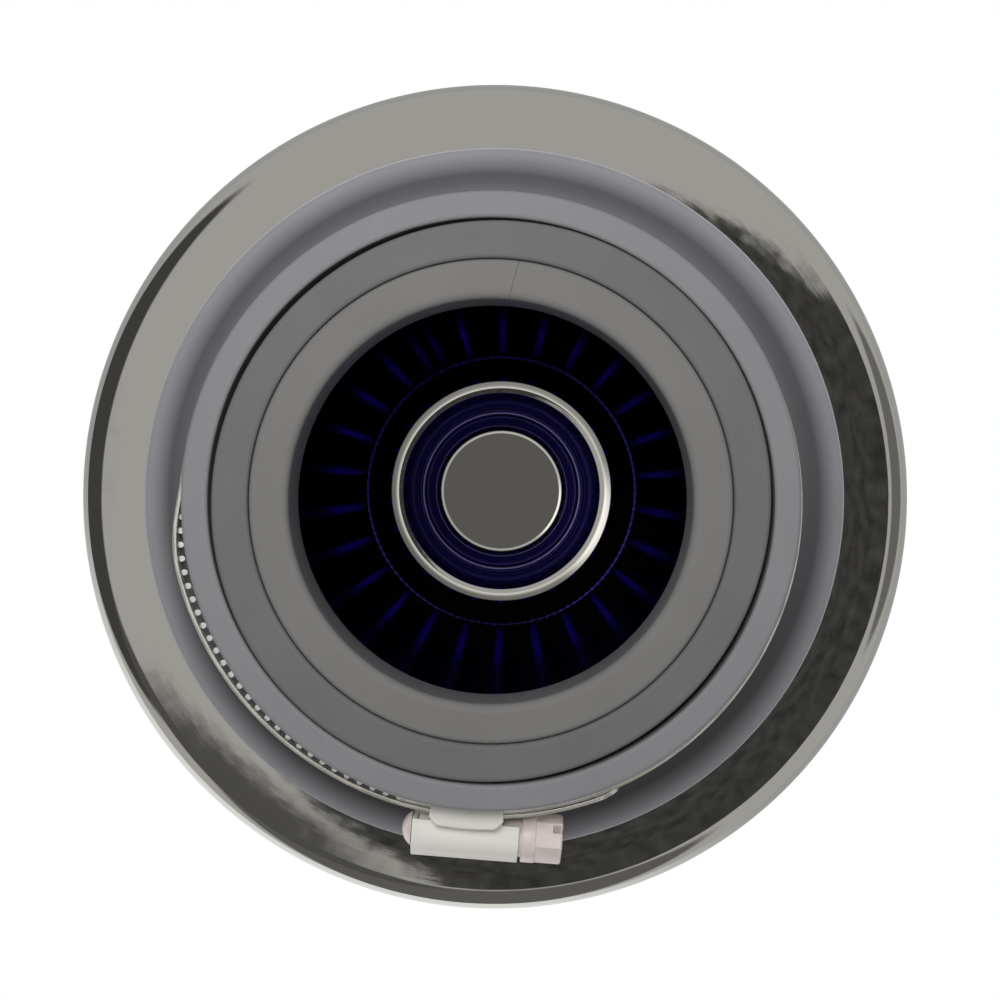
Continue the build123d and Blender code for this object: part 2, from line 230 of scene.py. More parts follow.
# Light of the walls, then of each dark flag with its centre, radius and soft edge on the map
WALL_LIGHT = 0.45
FLAGS = [
    (0.06, (-60, 8), 40, 6),
    (0.13, (-7, -60), 37, 6),
    (0.16, (60, 2), 25, 6),
    (0.09, (-22, -26), 17.8, 3.5),
]
level = WALL_LIGHT
for flag_light, centre, radius, edge in FLAGS:
    level = painted(level, flag_light, ceiling_disc(centre, radius, edge))
# A mottled cloth hangs before them. Then come the ceiling near the lens, the lamp and the lens
mottled = add(tree, "ShaderNodeTexNoise", {**crumpled, "Scale": 1.3})
cloth = add(
    tree, "ShaderNodeMapRange", {0: mottled.outputs[0], 1: 0.36, 2: 0.66, 3: 0.022, 4: 0.082}
)
level = painted(level, cloth.outputs[0], ceiling_disc((6.5, -5.5), 16.2, 1.8))
near_lens = add(
    tree, "ShaderNodeMapRange", {0: degrees_off.outputs[0], 1: 4.5, 2: 10.5, 3: 0.16, 4: 0.8}
)
LAMP_LIGHT, LENS_LIGHT = 1.3, 0.125
level = painted(level, near_lens.outputs[0], ceiling_disc((0, 0), 11.9, 0.4, False))
level = painted(level, LAMP_LIGHT, ceiling_disc((-8.1, 2.2), 3.6, 3.0, False))
level = painted(level, LENS_LIGHT, ceiling_disc((0, 0), 3.6, 0.6, False))
mirror_light = add(tree, "ShaderNodeBackground", {"Color": linear("FFFDF8"), "Strength": level})
tent = add(
    tree,
    "ShaderNodeMapRange",
    {0: degrees_off.outputs[0], 1: 45, 2: 85, 3: 0.22, 4: 0.55},
    interpolation_type="SMOOTHSTEP",
)
tent_light = add(
    tree, "ShaderNodeBackground", {"Color": linear("FFFFFF"), "Strength": tent.outputs[0]}
)
white_light = add(tree, "ShaderNodeBackground", {"Color": linear("FFFFFF"), "Strength": 1.0})
rays = add(tree, "ShaderNodeLightPath")
mirrored = add(
    tree,
    "ShaderNodeMixShader",
    {0: rays.outputs["Is Glossy Ray"], 1: tent_light.outputs[0], 2: mirror_light.outputs[0]},
)
seen = add(
    tree,
    "ShaderNodeMath",
    {0: rays.outputs["Is Camera Ray"], 1: rays.outputs["Is Transmission Ray"]},
    operation="MAXIMUM",
)
whole = add(
    tree,
    "ShaderNodeMixShader",
    {0: seen.outputs[0], 1: mirrored.outputs[0], 2: white_light.outputs[0]},
)
add(tree, "ShaderNodeOutputWorld", {"Surface": whole.outputs[0]})
bpy.context.scene.view_settings.view_transform = "Standard"
print("studio has", len(tree.nodes), "world nodes")

# %% Lamp
# It stands to the upper left of the lens, so the lower right of the bore is lit and the side
# under the lamp lies in shade. Mirrors show the painted lamp of the world instead of this one.
lamp_data = bpy.data.lights.new("round_lamp", "AREA")
lamp_data.shape = "DISK"
lamp_data.size = 120 * MM
lamp_data.energy = 0.52
lamp = bpy.data.objects.new("round_lamp", lamp_data)
lamp.location = (camera_right * -20 + camera_up * 70) * MM + Vector((0, 0, 440 * MM))
lamp.visible_glossy = False
lamp.visible_camera = False
bpy.context.scene.collection.objects.link(lamp)
print("lamp at", list(lamp.location))

# %% [markdown]
# ## Finishes
# Each finish starts from the real material. Patterns are sized in millimetres: a noise's scale is
# one over the size in metres of what it draws. Several finishes change with the distance from the
# axis, so one function measures it.

# %% Distance from the axis
def round_the_axis(tree, place):
    """Parts of a place along X, Y and Z, and its distance from the axis."""
    apart = add(tree, "ShaderNodeSeparateXYZ", {0: place}).outputs
    across = add(tree, "ShaderNodeCombineXYZ", {"X": apart["X"], "Y": apart["Y"]})
    from_axis = add(tree, "ShaderNodeVectorMath", {0: across.outputs[0]}, operation="LENGTH")
    return apart, from_axis.outputs["Value"]


# %% [markdown]
# ### Bright chromium
# Polished, nickel-chromium plated steel: a mirror, with faint marks that run round the axis where
# the polishing wheel went. They smear a reflection's edge outwards and inwards. Anisotropy could
# smear it too, but a shallow bump keeps the marks uneven, as a wheel leaves them.

# %% Bright chromium plate
CHROME, PLEAT_REFLECTION_TINT = "DCDBD7", "7F78B4"
POLISHED, TINTED_ROUGHNESS = 0.03, 0.2
TINT_FADE = 0.2
MARK_WIDTH, MARK_BEND = 0.9, 6.5


def chromium(name, marks_depth, painted_reflection=None):
    """Chromium plate. The last argument gives two radii in mm between which the plate is tinted blue,
    a painted reflection of the blue pleats.
    """
    material, tree, shader, place = new_finish(name)
    shader.inputs["Metallic"].default_value = 1.0
    shader.inputs["Base Color"].default_value = linear(CHROME)
    shader.inputs["Roughness"].default_value = POLISHED
    apart, from_axis = round_the_axis(tree, place)
    if painted_reflection:
        inner_edge, outer_edge = [
            add(
                tree,
                "ShaderNodeMapRange",
                {0: from_axis, 1: (r - TINT_FADE) * MM, 2: (r + TINT_FADE) * MM},
            ).outputs[0]
            for r in painted_reflection
        ]
        reflection_band = add(tree, "ShaderNodeMath", {0: inner_edge, 1: outer_edge}, operation="SUBTRACT")
        tint = add(
            tree,
            "ShaderNodeMix",
            {0: reflection_band.outputs[0], 6: linear(CHROME), 7: linear(PLEAT_REFLECTION_TINT)},
            data_type="RGBA",
        )
        tree.links.new(tint.outputs[2], shader.inputs["Base Color"])
        dull = add(tree, "ShaderNodeMapRange", {0: reflection_band.outputs[0], 3: POLISHED, 4: TINTED_ROUGHNESS})
        tree.links.new(dull.outputs[0], shader.inputs["Roughness"])
    round_axis = add(tree, "ShaderNodeMath", {0: apart["Y"], 1: apart["X"]}, operation="ARCTAN2")
    # At the rim the marks are about eleven times as long as they are wide
    drawn_out = add(
        tree, "ShaderNodeMath", {0: round_axis.outputs[0], 1: MARK_BEND * MM}, operation="MULTIPLY"
    )
    wheel_marks = add(
        tree,
        "ShaderNodeCombineXYZ",
        {"X": from_axis, "Y": drawn_out.outputs[0], "Z": apart["Z"]},
    )
    marks = add(
        tree,
        "ShaderNodeTexNoise",
        {"Vector": wheel_marks.outputs[0], "Scale": 1 / (MARK_WIDTH * MM), "Detail": 4.0},
    )
    relief = add(
        tree,
        "ShaderNodeBump",
        {"Height": marks.outputs[0], "Strength": marks_depth, "Distance": 0.2 * MM},
    )
    tree.links.new(relief.outputs[0], shader.inputs["Normal"])
    return material


plate_chrome = chromium("bright_chromium_plate", 0.012)
# The groove of the cap is tinted blue: a painted reflection of the blue pleats round it
cap_chrome = chromium("bright_chromium_cap", 0.0015, (17.9, 26.0))

# %% [markdown]
# ### Grey rubber
# The neck is moulded soft vinyl and the rings are cut rubber: matt, a little blotchy from handling,
# with a fine grain that the mould left. The neck also gets painted shade at its foot and a painted
# highlight on the rim of its bead. These could be painted on by hand; a ramp over the distance from
# the axis does it for a round piece.

# %% Grey rubber of the neck and of the reducer rings
BLOTCH = 14


def rubber(name, colour, darker, grain, depth, rough, painted_light=()):
    """Grey rubber. The last argument gives (radius in mm, share of red, green and blue) at which
    painted shade or a painted highlight sets its tone.
    """
    material, tree, shader, place = new_finish(name)
    blotch = add(
        tree, "ShaderNodeTexNoise", {"Vector": place, "Scale": 1 / (BLOTCH * MM), "Detail": 5.0}
    )
    tone = add(
        tree,
        "ShaderNodeMix",
        {0: blotch.outputs[0], 6: linear(darker), 7: linear(colour)},
        data_type="RGBA",
    )
    tree.links.new(tone.outputs[2], shader.inputs["Base Color"])
    if painted_light:
        from_axis = round_the_axis(tree, place)[1]
        first, last = painted_light[0][0], painted_light[-1][0]
        along = add(
            tree,
            "ShaderNodeMapRange",
            {0: from_axis, 1: first * MM, 2: last * MM},
        )
        ramp = add(tree, "ShaderNodeValToRGB", {0: along.outputs[0]})
        elements = ramp.color_ramp.elements
        while len(elements) < len(painted_light):
            elements.new(0.5)
        for element, (radius, share) in zip(elements, painted_light):
            element.position = (radius - first) / (last - first)
            element.color = (*share, 1)
        shaded = add(
            tree,
            "ShaderNodeMix",
            {0: 1.0, 6: tone.outputs[2], 7: ramp.outputs[0]},
            data_type="RGBA",
            blend_type="MULTIPLY",
        )
        tree.links.new(shaded.outputs[2], shader.inputs["Base Color"])
    shader.inputs["Roughness"].default_value = rough
    fine = add(
        tree, "ShaderNodeTexNoise", {"Vector": place, "Scale": 1 / (grain * MM), "Detail": 2.0}
    )
    relief = add(
        tree,
        "ShaderNodeBump",
        {"Height": fine.outputs[0], "Strength": depth, "Distance": 0.05 * MM},
    )
    tree.links.new(relief.outputs[0], shader.inputs["Normal"])
    return material


# Painted shade darkens the corner at the foot of the neck, and a painted highlight brightens the rim
# of the bead
neck_shade_and_highlight = [
    (49, (1, 1, 1)),
    (54, (0.7, 0.7, 0.72)),
    (55.5, (0.5, 0.5, 0.52)),
    (57, (0.42, 0.42, 0.44)),
    (58.4, (0.8, 0.8, 0.81)),
    (60.2, (1.22, 1.22, 1.25)),
    (61.4, (1.48, 1.47, 1.52)),
    (61.75, (3.2, 3.15, 3.3)),
]
neck_rubber = rubber("moulded_grey_vinyl", "89888B", "828184", 0.35, 0.25, 0.48, neck_shade_and_highlight)
outer_rubber = rubber("grey_ring_rubber_outer", "737374", "676768", 0.4, 0.3, 0.6)
inner_rubber = rubber("grey_ring_rubber_inner", "7C7B79", "747371", 0.4, 0.3, 0.55)

# %% [markdown]
# ### Black potting
# Cast black polyurethane holds the folds at both ends: dull, and slightly wavy where it set. A
# noise bump gives the waves, because the solid itself is plain.

# %% Black polyurethane potting
potting, tree, shader, place = new_finish("cast_black_polyurethane")
shader.inputs["Base Color"].default_value = linear("050506")
shader.inputs["Roughness"].default_value = 0.6
shader.inputs["Specular IOR Level"].default_value = 0.1
waves = add(tree, "ShaderNodeTexNoise", {"Vector": place, "Scale": 1 / (3 * MM), "Detail": 3.0})
relief = add(
    tree, "ShaderNodeBump", {"Height": waves.outputs[0], "Strength": 0.3, "Distance": 0.2 * MM}
)
tree.links.new(relief.outputs[0], shader.inputs["Normal"])

# %% [markdown]
# ### Blue cotton gauze
# Layers of loosely woven cotton, dyed blue and wetted with oil. On the inner face the blue is
# painted darker towards the cap, nearly black there: painted shade of the deep inside. Only where
# the weave is bent hardest, at the inner folds, it lies open and lets light through: from inside,
# thin blue lines glow between dark walls. The threads follow the folds by the piece's own map. Real
# threads lie 0.9 mm apart and don't show at this distance, so they are drawn as bands, about six
# times as coarse.

# %% Blue cotton gauze
THREAD_STEP, DRAWN_COARSER = 0.9, 2 * pi
WAVE_TURNS = 20 / (2 * pi)  # bands that a wave texture draws in one unit
band_scale = 1 / (THREAD_STEP * DRAWN_COARSER * MM) / WAVE_TURNS
gauze_cloth, tree, shader, place = new_finish("oiled_blue_cotton_gauze")
laid = add(tree, "ShaderNodeUVMap", uv_map="threads").outputs[0]
uneven = {"Distortion": 1.2, "Detail": 2.0, "Detail Scale": 2.0}
warp_way, weft_way = [
    add(
        tree,
        "ShaderNodeTexWave",
        {"Vector": laid, "Scale": band_scale, **uneven},
        bands_direction=way,
    ).outputs["Fac"]
    for way in "XY"
]
woven = add(tree, "ShaderNodeMath", {0: warp_way, 1: weft_way}, operation="MAXIMUM")
tone = add(
    tree,
    "ShaderNodeMix",
    {0: woven.outputs[0], 6: linear("0A1470"), 7: linear("1E34C8")},
    data_type="RGBA",
)
# Painted shade: the inner face is darkened towards the cap
painted_inner_shade = add(tree, "ShaderNodeAttribute", attribute_name="painted_inner_shade").outputs["Fac"]
shade_darkened_tone = add(
    tree, "ShaderNodeMix", {0: painted_inner_shade, 6: tone.outputs[2], 7: linear("0A0A42")}, data_type="RGBA"
)
tree.links.new(shade_darkened_tone.outputs[2], shader.inputs["Base Color"])
shader.inputs["Roughness"].default_value = 0.75
relief = add(
    tree, "ShaderNodeBump", {"Height": woven.outputs[0], "Strength": 0.5, "Distance": 0.25 * MM}
)
tree.links.new(relief.outputs[0], shader.inputs["Normal"])
through = add(tree, "ShaderNodeBsdfTranslucent", {"Color": linear("8560FF")})
opened = add(tree, "ShaderNodeAttribute", attribute_name="opened_weave").outputs["Fac"]
cloth_mix = add(
    tree,
    "ShaderNodeMixShader",
    {0: opened, 1: shader.outputs[0], 2: through.outputs[0]},
)
tree.links.new(cloth_mix.outputs[0], tree.nodes["Material Output"].inputs["Surface"])

# %% [markdown]
# ### Coated wire
# Aluminium wire with a thin blue epoxy coat. The outer screen keeps that blue; the inner screen is
# painted nearly black, painted shade of the dark inside, and the hem is painted a brighter blue, a
# painted highlight. One plain finish in three colours does, because a wire is thinner than any
# pattern on it.

# %% Coated wire
def coated_wire(name, colour):
    """Wire with a coloured coat, a little metallic where the coat is thin."""
    material, tree, shader, place = new_finish(name)
    shader.inputs["Base Color"].default_value = linear(colour)
    shader.inputs["Metallic"].default_value = 0.3
    shader.inputs["Roughness"].default_value = 0.4
    return material


outer_wire = coated_wire("blue_coated_wire", "2A3CB8")
# The inner wire's near black is painted shade, and the hem's brighter blue is a painted highlight
shade_dark_inner_wire = coated_wire("shade_darkened_coated_wire", "07081C")
highlight_bright_hem_wire = coated_wire("highlight_brightened_hem_wire", "7668FF")

# %% [markdown]
# ### Clamp steel
# The strip is bright rolled steel, so its edges shine and its inside mirrors the dark gap. The
# worm has rubbed its ribs to a mirror. The housing and the screw are dull zinc: pale, slightly
# warm, and milky, because the zinc scatters most of the light. A low metallic value gives that.

# %% Clamp steel
def plated_steel(name, colour, rough, metallic):
    """Rolled or plated steel with a fine grain."""
    material, tree, shader, place = new_finish(name)
    shader.inputs["Base Color"].default_value = linear(colour)
    shader.inputs["Metallic"].default_value = metallic
    shader.inputs["Roughness"].default_value = rough
    grain = add(
        tree, "ShaderNodeTexNoise", {"Vector": place, "Scale": 1 / (0.5 * MM), "Detail": 3.0}
    )
    relief = add(
        tree,
        "ShaderNodeBump",
        {"Height": grain.outputs[0], "Strength": 0.15, "Distance": 0.05 * MM},
    )
    tree.links.new(relief.outputs[0], shader.inputs["Normal"])
    return material


strip_steel = plated_steel("bright_rolled_strip", "F8F5EE", 0.22, 0.7)
rib_steel = plated_steel("rubbed_bright_steel", "FFFFFF", 0.15, 1.0)
housing_steel = plated_steel("zinc_plated_pressing", "FBF8F1", 0.35, 0.15)
screw_steel = plated_steel("zinc_plated_screw", "F4E9E4", 0.3, 0.25)
print("finishes:", [m.name for m in bpy.data.materials if m.use_nodes])

# %% [markdown]
# ## Spun pieces
# The base plate, end cap, neck and rings are round. A Screw modifier could spin them, but then the
# points of the outline couldn't be guarded against smeared shading. So a rounded outline is written
# once as radius and height, in millimetres, and spun about the axis with many sections: the chromium
# then shows no facets.

# %% Outline and spinning tools
GUARD = 0.12
BRIGHT_SECTIONS = 320


def rounded(corners, radii, steps=10):
    """Line through corners of (radius, height), with its inner corners rounded. A guard point on
    either side of a round keeps its shading off the straight stretches."""
    points = [Vector(corner) for corner in corners]
    line = [points[0]]
    for before, here, after, radius in zip(points, points[1:], points[2:], radii):
        back = (before - here).normalized()
        ahead = (after - here).normalized()
        half = acos(max(-1, min(1, back.dot(ahead)))) / 2
        if radius == 0:
            line.append(here)
            continue
        centre = here + (back + ahead).normalized() * (radius / sin(half))
        start = here + back * (radius / tan(half)) - centre
        end = here + ahead * (radius / tan(half)) - centre
        sweep = (pi - 2 * half) * (1 if start.cross(end) > 0 else -1)
        if (line[-1] - centre - start).length > 2 * GUARD:
            line.append(centre + start + back * GUARD)
        for step in range(steps + 1):
            angle = sweep * step / steps
            line.append(centre + Matrix.Rotation(angle, 2) @ start)
        if (after - centre - end).length > 2 * GUARD + radius:
            line.append(centre + end + ahead * GUARD)
    line.append(points[-1])
    return line


def spun(name, outline, sections=240, warp=None, slit=0.0, start=0.0):
    """A closed outline in millimetres spun about the axis. A slit leaves the ring open there."""
    verts, rows = [], []
    stations = sections + 1 if slit else sections
    for i in range(stations):
        angle = start + slit / 2 + (2 * pi - slit) * i / sections
        row = []
        for j, (r, z) in enumerate(outline):
            if r < 1e-6 and i:
                row.append(rows[0][j])
                continue
            at_r, at_angle = warp(r, angle) if warp else (r, angle)
            row.append(len(verts))
            verts.append((at_r * cos(at_angle) * MM, at_r * sin(at_angle) * MM, z * MM))
        rows.append(row)
    faces = []
    for i in range(sections):
        here, ahead = rows[i], rows[(i + 1) % stations]
        for j in range(len(outline)):
            k = (j + 1) % len(outline)
            ring = list(dict.fromkeys([here[j], ahead[j], ahead[k], here[k]]))
            if len(ring) > 2:
                faces.append(ring)
    if slit:
        faces += [rows[0][::-1], rows[-1]]
    return as_piece(name, verts, faces)


def as_piece(name, verts, faces, crease=32):
    """A shaded mesh object with its faces pointing outwards."""
    mesh = bpy.data.meshes.new(name)
    mesh.from_pydata(verts, [], faces)
    work = bmesh.new()
    work.from_mesh(mesh)
    bmesh.ops.recalc_face_normals(work, faces=work.faces)
    work.to_mesh(mesh)
    work.free()
    mesh.shade_smooth()
    mesh.set_sharp_from_angle(angle=radians(crease))
    piece = bpy.data.objects.new(name, mesh)
    bpy.context.scene.collection.objects.link(piece)
    return piece


def settle(piece, finish, slot, *nodes, body="filter"):
    """Gives a piece its finish, and puts it on its body in the place of the named nodes."""
    if not piece.data.materials:
        piece.data.materials.append(finish)
    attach(piece, body)
    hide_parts(*nodes)
    print(piece.name, len(piece.data.polygons), "faces")
    return piece


def pressed(corners, radii, thickness, steps=9):
    """Closed outline of a bent sheet: a rounded line, and its copy on the left of it."""
    points = [Vector(corner) for corner in corners]
    lefts = []
    for here, ahead in zip(points, points[1:]):
        way = (ahead - here).normalized()
        lefts.append(Vector((-way.y, way.x)))
    back = [points[0] + lefts[0] * thickness]
    back_radii = []
    for here, before, after, radius in zip(points[1:-1], lefts, lefts[1:], radii):
        back.append(here + (before + after) * (thickness / (1 + before.dot(after))))
        back_radii.append(radius - thickness * (1 if before.cross(after) > 0 else -1))
    back.append(points[-1] + lefts[-1] * thickness)
    return rounded(points, radii, steps) + rounded(back, back_radii, steps)[::-1]


# %% [markdown]
# ### Base plate
# A pressed disc with a rolled-over skirt. It falls away very slightly towards its rim, which shows
# in what it mirrors, and a long, shallow bend in the outline gives that.

# %% Base plate
SHEET = 0.8
PLATE_TOP, PLATE_R, SKIRT_FOOT = 158, 75, 146
PLATE_HOLE_R, FALL_FROM_R, RIM_FALL = 49.4, 64.5, 0.35
FALL_BEND, RIM_ROLL = 220, 4.6
plate_line = [
    (PLATE_HOLE_R, PLATE_TOP),
    (FALL_FROM_R, PLATE_TOP),
    (PLATE_R, PLATE_TOP - RIM_FALL),
    (PLATE_R, SKIRT_FOOT),
]
plate_outline = pressed(plate_line, [FALL_BEND, RIM_ROLL], -SHEET, 20)
plate = spun("chromed_base_plate", plate_outline, BRIGHT_SECTIONS)
settle(plate, plate_chrome, "chrome", "base_plate")

# %% [markdown]
# ### End cap
# A pressed cup: a centre disc, a groove and a raised ring. The ring leans inwards by a few degrees,
# so it mirrors the sky that the bore lets in. Each corner below carries its own bending radius.

# %% End cap
CAP_R, CAP_SKIRT = 52, 12
cap_corners = [
    ((0, 6), 0),
    ((15.8, 6), 2),
    ((16.8, 6.09), 0.5),
    ((19.4, 0.6), 2.9),
    ((23.4, 0.6), 2.9),
    ((26.7, 9.2), 0.3),
    ((28.2, 9.45), 14),
    ((30.1, 9.6), 0.3),
    ((31.5, 0), 1.8),
    ((CAP_R, 0), 3.2),
    ((CAP_R, CAP_SKIRT), 0),
]
cap_line = [corner for corner, _ in cap_corners]
cap_bends = [bend for _, bend in cap_corners[1:-1]]
cap = spun("chromed_end_cap", pressed(cap_line, cap_bends, SHEET, 8), BRIGHT_SECTIONS)
settle(cap, cap_chrome, "chrome", "end_cap")

# %% [markdown]
# ### Neck
# A moulded tube with a thick bead at its root. Below the bead it narrows to a groove that grips the
# hole of the plate, and widens again to a flange under it. It is one outline, so one spin makes it.

# %% Neck
NECK_TOP, NECK_R, BORE_R = 195.0, 48.65, 44.45
BEAD_R, BEAD_TOP, BEAD_FOOT = 62, 164, 158
GRIP_R, FLANGE_R, FLANGE_TOP, FLANGE_FOOT, STOP_R = 49.35, 52.15, 157.2, 154.2, 41.45
LIP_ROUND, ROOT_ROUND, BEAD_ROUND = 0.7, 5.0, 2.8
# The outline opens and closes on the wall of the bore, away from its corners
CLOSE_LOW, CLOSE_HIGH = 175, 176
neck_line = [
    (BORE_R, CLOSE_HIGH),
    (BORE_R, NECK_TOP),
    (NECK_R, NECK_TOP),
    (NECK_R, BEAD_TOP),
    (BEAD_R, BEAD_TOP),
    (BEAD_R, BEAD_FOOT),
    (GRIP_R, BEAD_FOOT),
    (GRIP_R, FLANGE_TOP),
    (FLANGE_R, FLANGE_TOP),
    (FLANGE_R, FLANGE_FOOT),
    (STOP_R, FLANGE_FOOT),
    (STOP_R, FLANGE_TOP),
    (BORE_R, FLANGE_TOP),
    (BORE_R, CLOSE_LOW),
]
upper_rounds = [LIP_ROUND, LIP_ROUND, ROOT_ROUND, BEAD_ROUND]
neck_rounds = upper_rounds + [0] * (len(neck_line) - 2 - len(upper_rounds))
neck = spun("moulded_neck", rounded(neck_line, neck_rounds))
settle(neck, neck_rubber, "neck_rubber", "neck")

# %% [markdown]
# ## Reducer rings
# Two rubber rings nest in the neck. The outer one is pressed slightly oval, so a dark gap opens on
# two sides of it. The inner one is a strip bent into a ring, and its joint shows as a hairline. A
# lattice could bend a plain ring, but a small rule that moves each point as it is spun is exact.

# %% Ring outline
RING_FOOT = 177.0
RING_EDGE = 0.8
OUTER_BORE_R, INNER_BORE_R, INNER_RING_R = 38.1, 31.75, 38.0
INNER_LIP, INNER_DRAFT = 1.4, 0.8


def ring_outline(inner_r, outer_r, lip=RING_EDGE, draft=0.0):
    """Outline of a ring with its two upper edges rounded. Draft widens its bore towards the foot."""
    corners = [
        (inner_r + draft, RING_FOOT),
        (inner_r, NECK_TOP),
        (outer_r, NECK_TOP),
        (outer_r, RING_FOOT),
    ]
    return rounded(corners, [lip, RING_EDGE], 8)


# %% Reducer rings
OVAL_LONG, OVAL_SHORT, OVAL_TURN = 44.35, 43.65, radians(54.5)
OVAL_FROM_R = 41


def oval(r, angle):
    """The outer half of the ring's wall follows an ellipse."""
    if r < OVAL_FROM_R:
        return r, angle
    turned = angle - OVAL_TURN
    edge = OVAL_LONG * OVAL_SHORT / hypot(OVAL_SHORT * cos(turned), OVAL_LONG * sin(turned))
    return r - OVAL_LONG + edge, angle


SPLIT_AT, SPLIT_SLANT, SPLIT_MIDDLE, SPLIT_WIDTH = radians(88.5), -tan(radians(9)), 34.925, 0.05


def slanted(r, angle):
    """Leans the joint of the ring a little off the radius."""
    return r, angle + SPLIT_SLANT * (r - SPLIT_MIDDLE) / r


outer_ring = spun("outer_reducer_ring", ring_outline(OUTER_BORE_R, OVAL_LONG), warp=oval)
settle(outer_ring, outer_rubber, "reducer_rubber", "reducer_outer")
inner_ring = spun(
    "inner_reducer_ring",
    ring_outline(INNER_BORE_R, INNER_RING_R, INNER_LIP, INNER_DRAFT),
    warp=slanted,
    slit=SPLIT_WIDTH / SPLIT_MIDDLE,
    start=SPLIT_AT,
)
settle(inner_ring, inner_rubber, "reducer_rubber", "reducer_inner")

# %% [markdown]
# ## Pleated media
# A sheet of gauze between two wire screens is folded 26 times and closed into a cone. Its section
# at any height is the base's section made smaller, so the walls between the folds are flat. The
# folds could be an array of one pleat, but the seam breaks the repeat: it is a short extra fold.
# So one function gives the whole zigzag line, at a share of the base's size, moved out or in from
# the middle of the gauze.

# %% The zigzag rule
# Radii are those at the base; at the cap everything is TAPER times as large
PLEATS, FOLD_R, TIP_R, VALLEY_R = 26, 1.3, 71.55, 54.75
TAPER, FOOT_Z, HEAD_Z = 0.67855, 2.8, 155.2
SEAM_AT, SEAM_SPREAD, SEAM_DEPTH = radians(121.5), 2.9, 9.0


def fold_ring(share):
    """Fold centres round the axis as (centre, outward)."""
    pitch = 2 * pi / PLEATS
    crest_r, trough_r = TIP_R - FOLD_R, VALLEY_R + FOLD_R
    spread = SEAM_SPREAD / trough_r
    folds = [
        (trough_r, -spread, False),
        (trough_r + SEAM_DEPTH, 0, True),
        (trough_r, spread, False),
    ]
    for step in range(1, PLEATS):
        folds += [(crest_r, (step - 0.5) * pitch, True), (trough_r, step * pitch, False)]
    folds.append((crest_r, -0.5 * pitch, True))
    return [
        (Vector((cos(SEAM_AT + turn), sin(SEAM_AT + turn))) * r * share, out)
        for r, turn, out in folds
    ]


def zigzag(share, shift, steps):
    """Points of the closed zigzag line, with each fold drawn in so many steps, in millimetres."""
    folds = fold_ring(share)
    bend = share * FOLD_R
    sides = []
    for (here, out), (ahead, _) in zip(folds, folds[1:] + folds[:1]):
        outer, inner = (here, ahead) if out else (ahead, here)
        along = (inner - outer).normalized()
        aside = Vector((along.y, -along.x)) * (1 if out else -1)
        lean = acos(2 * bend / (inner - outer).length)
        sides.append(along * cos(lean) + aside * sin(lean))
    line = []
    for i, (centre, out) in enumerate(folds):
        sign = 1 if out else -1
        start, end = sides[i - 1] * sign, sides[i] * sign
        sweep = (atan2(end.y, end.x) - atan2(start.y, start.x)) % (2 * pi)
        sweep = sweep if out else sweep - 2 * pi
        reach = bend + sign * shift
        for step in range(steps + 1):
            line.append(centre + Matrix.Rotation(sweep * step / steps, 2) @ start * reach)
    return line


def share_at(z):
    """Size of the zigzag at a height, as a share of the base's."""
    return TAPER + (1 - TAPER) * (z - FOOT_Z) / (HEAD_Z - FOOT_Z)


def lifted(line, z):
    """A line in millimetres as points in metres, at a height."""
    return [(p.x * MM, p.y * MM, z * MM) for p in line]


print("zigzag of", len(fold_ring(1)), "folds")

# %% Gauze points
GAUZE_T = 0.6
FOLD_STEPS = 6
ROWS = 13
levels = [FOOT_Z + (HEAD_Z - FOOT_Z) * k / (ROWS - 1) for k in range(ROWS)]
verts = []
for shift in (GAUZE_T / 2, -GAUZE_T / 2):
    for z in levels:
        verts += lifted(zigzag(share_at(z), shift, FOLD_STEPS), z)
count = len(verts) // (2 * ROWS)
middle = zigzag(1, 0, FOLD_STEPS)
lengths = [0.0]
for here, ahead in zip(middle, middle[1:] + middle[:1]):
    lengths.append(lengths[-1] + (ahead - here).length * MM)
print("gauze has", count, "points in a row")

# %% Gauze faces and their map
faces, threads = [], []


def weave(low, high, low_row, high_row, flip):
    """Adds the faces between two lines of points, with the place of each corner on the flat cloth."""
    for i in range(count):
        j = (i + 1) % count
        quad = [
            (low + i, i, low_row),
            (low + j, i + 1, low_row),
            (high + j, i + 1, high_row),
            (high + i, i, high_row),
        ]
        quad = quad[::-1] if flip else quad
        faces.append([corner for corner, _, _ in quad])
        threads.append([(lengths[along], levels[row] * MM) for _, along, row in quad])


for layer in (0, 1):
    for k in range(ROWS - 1):
        low = (layer * ROWS + k) * count
        weave(low, low + count, k, k + 1, layer == 1)
for k, flip in ((0, True), (ROWS - 1, False)):
    weave(k * count, (ROWS + k) * count, k, k, flip)
gauze_mesh = bpy.data.meshes.new("pleated_gauze")
gauze_mesh.from_pydata(verts, [], faces)
layout = gauze_mesh.uv_layers.new(name="threads")
layout.data.foreach_set("uv", [value for ring in threads for pair in ring for value in pair])
gauze_mesh.shade_smooth()
gauze_mesh.set_sharp_from_angle(angle=radians(50))
print("gauze has", len(faces), "faces")

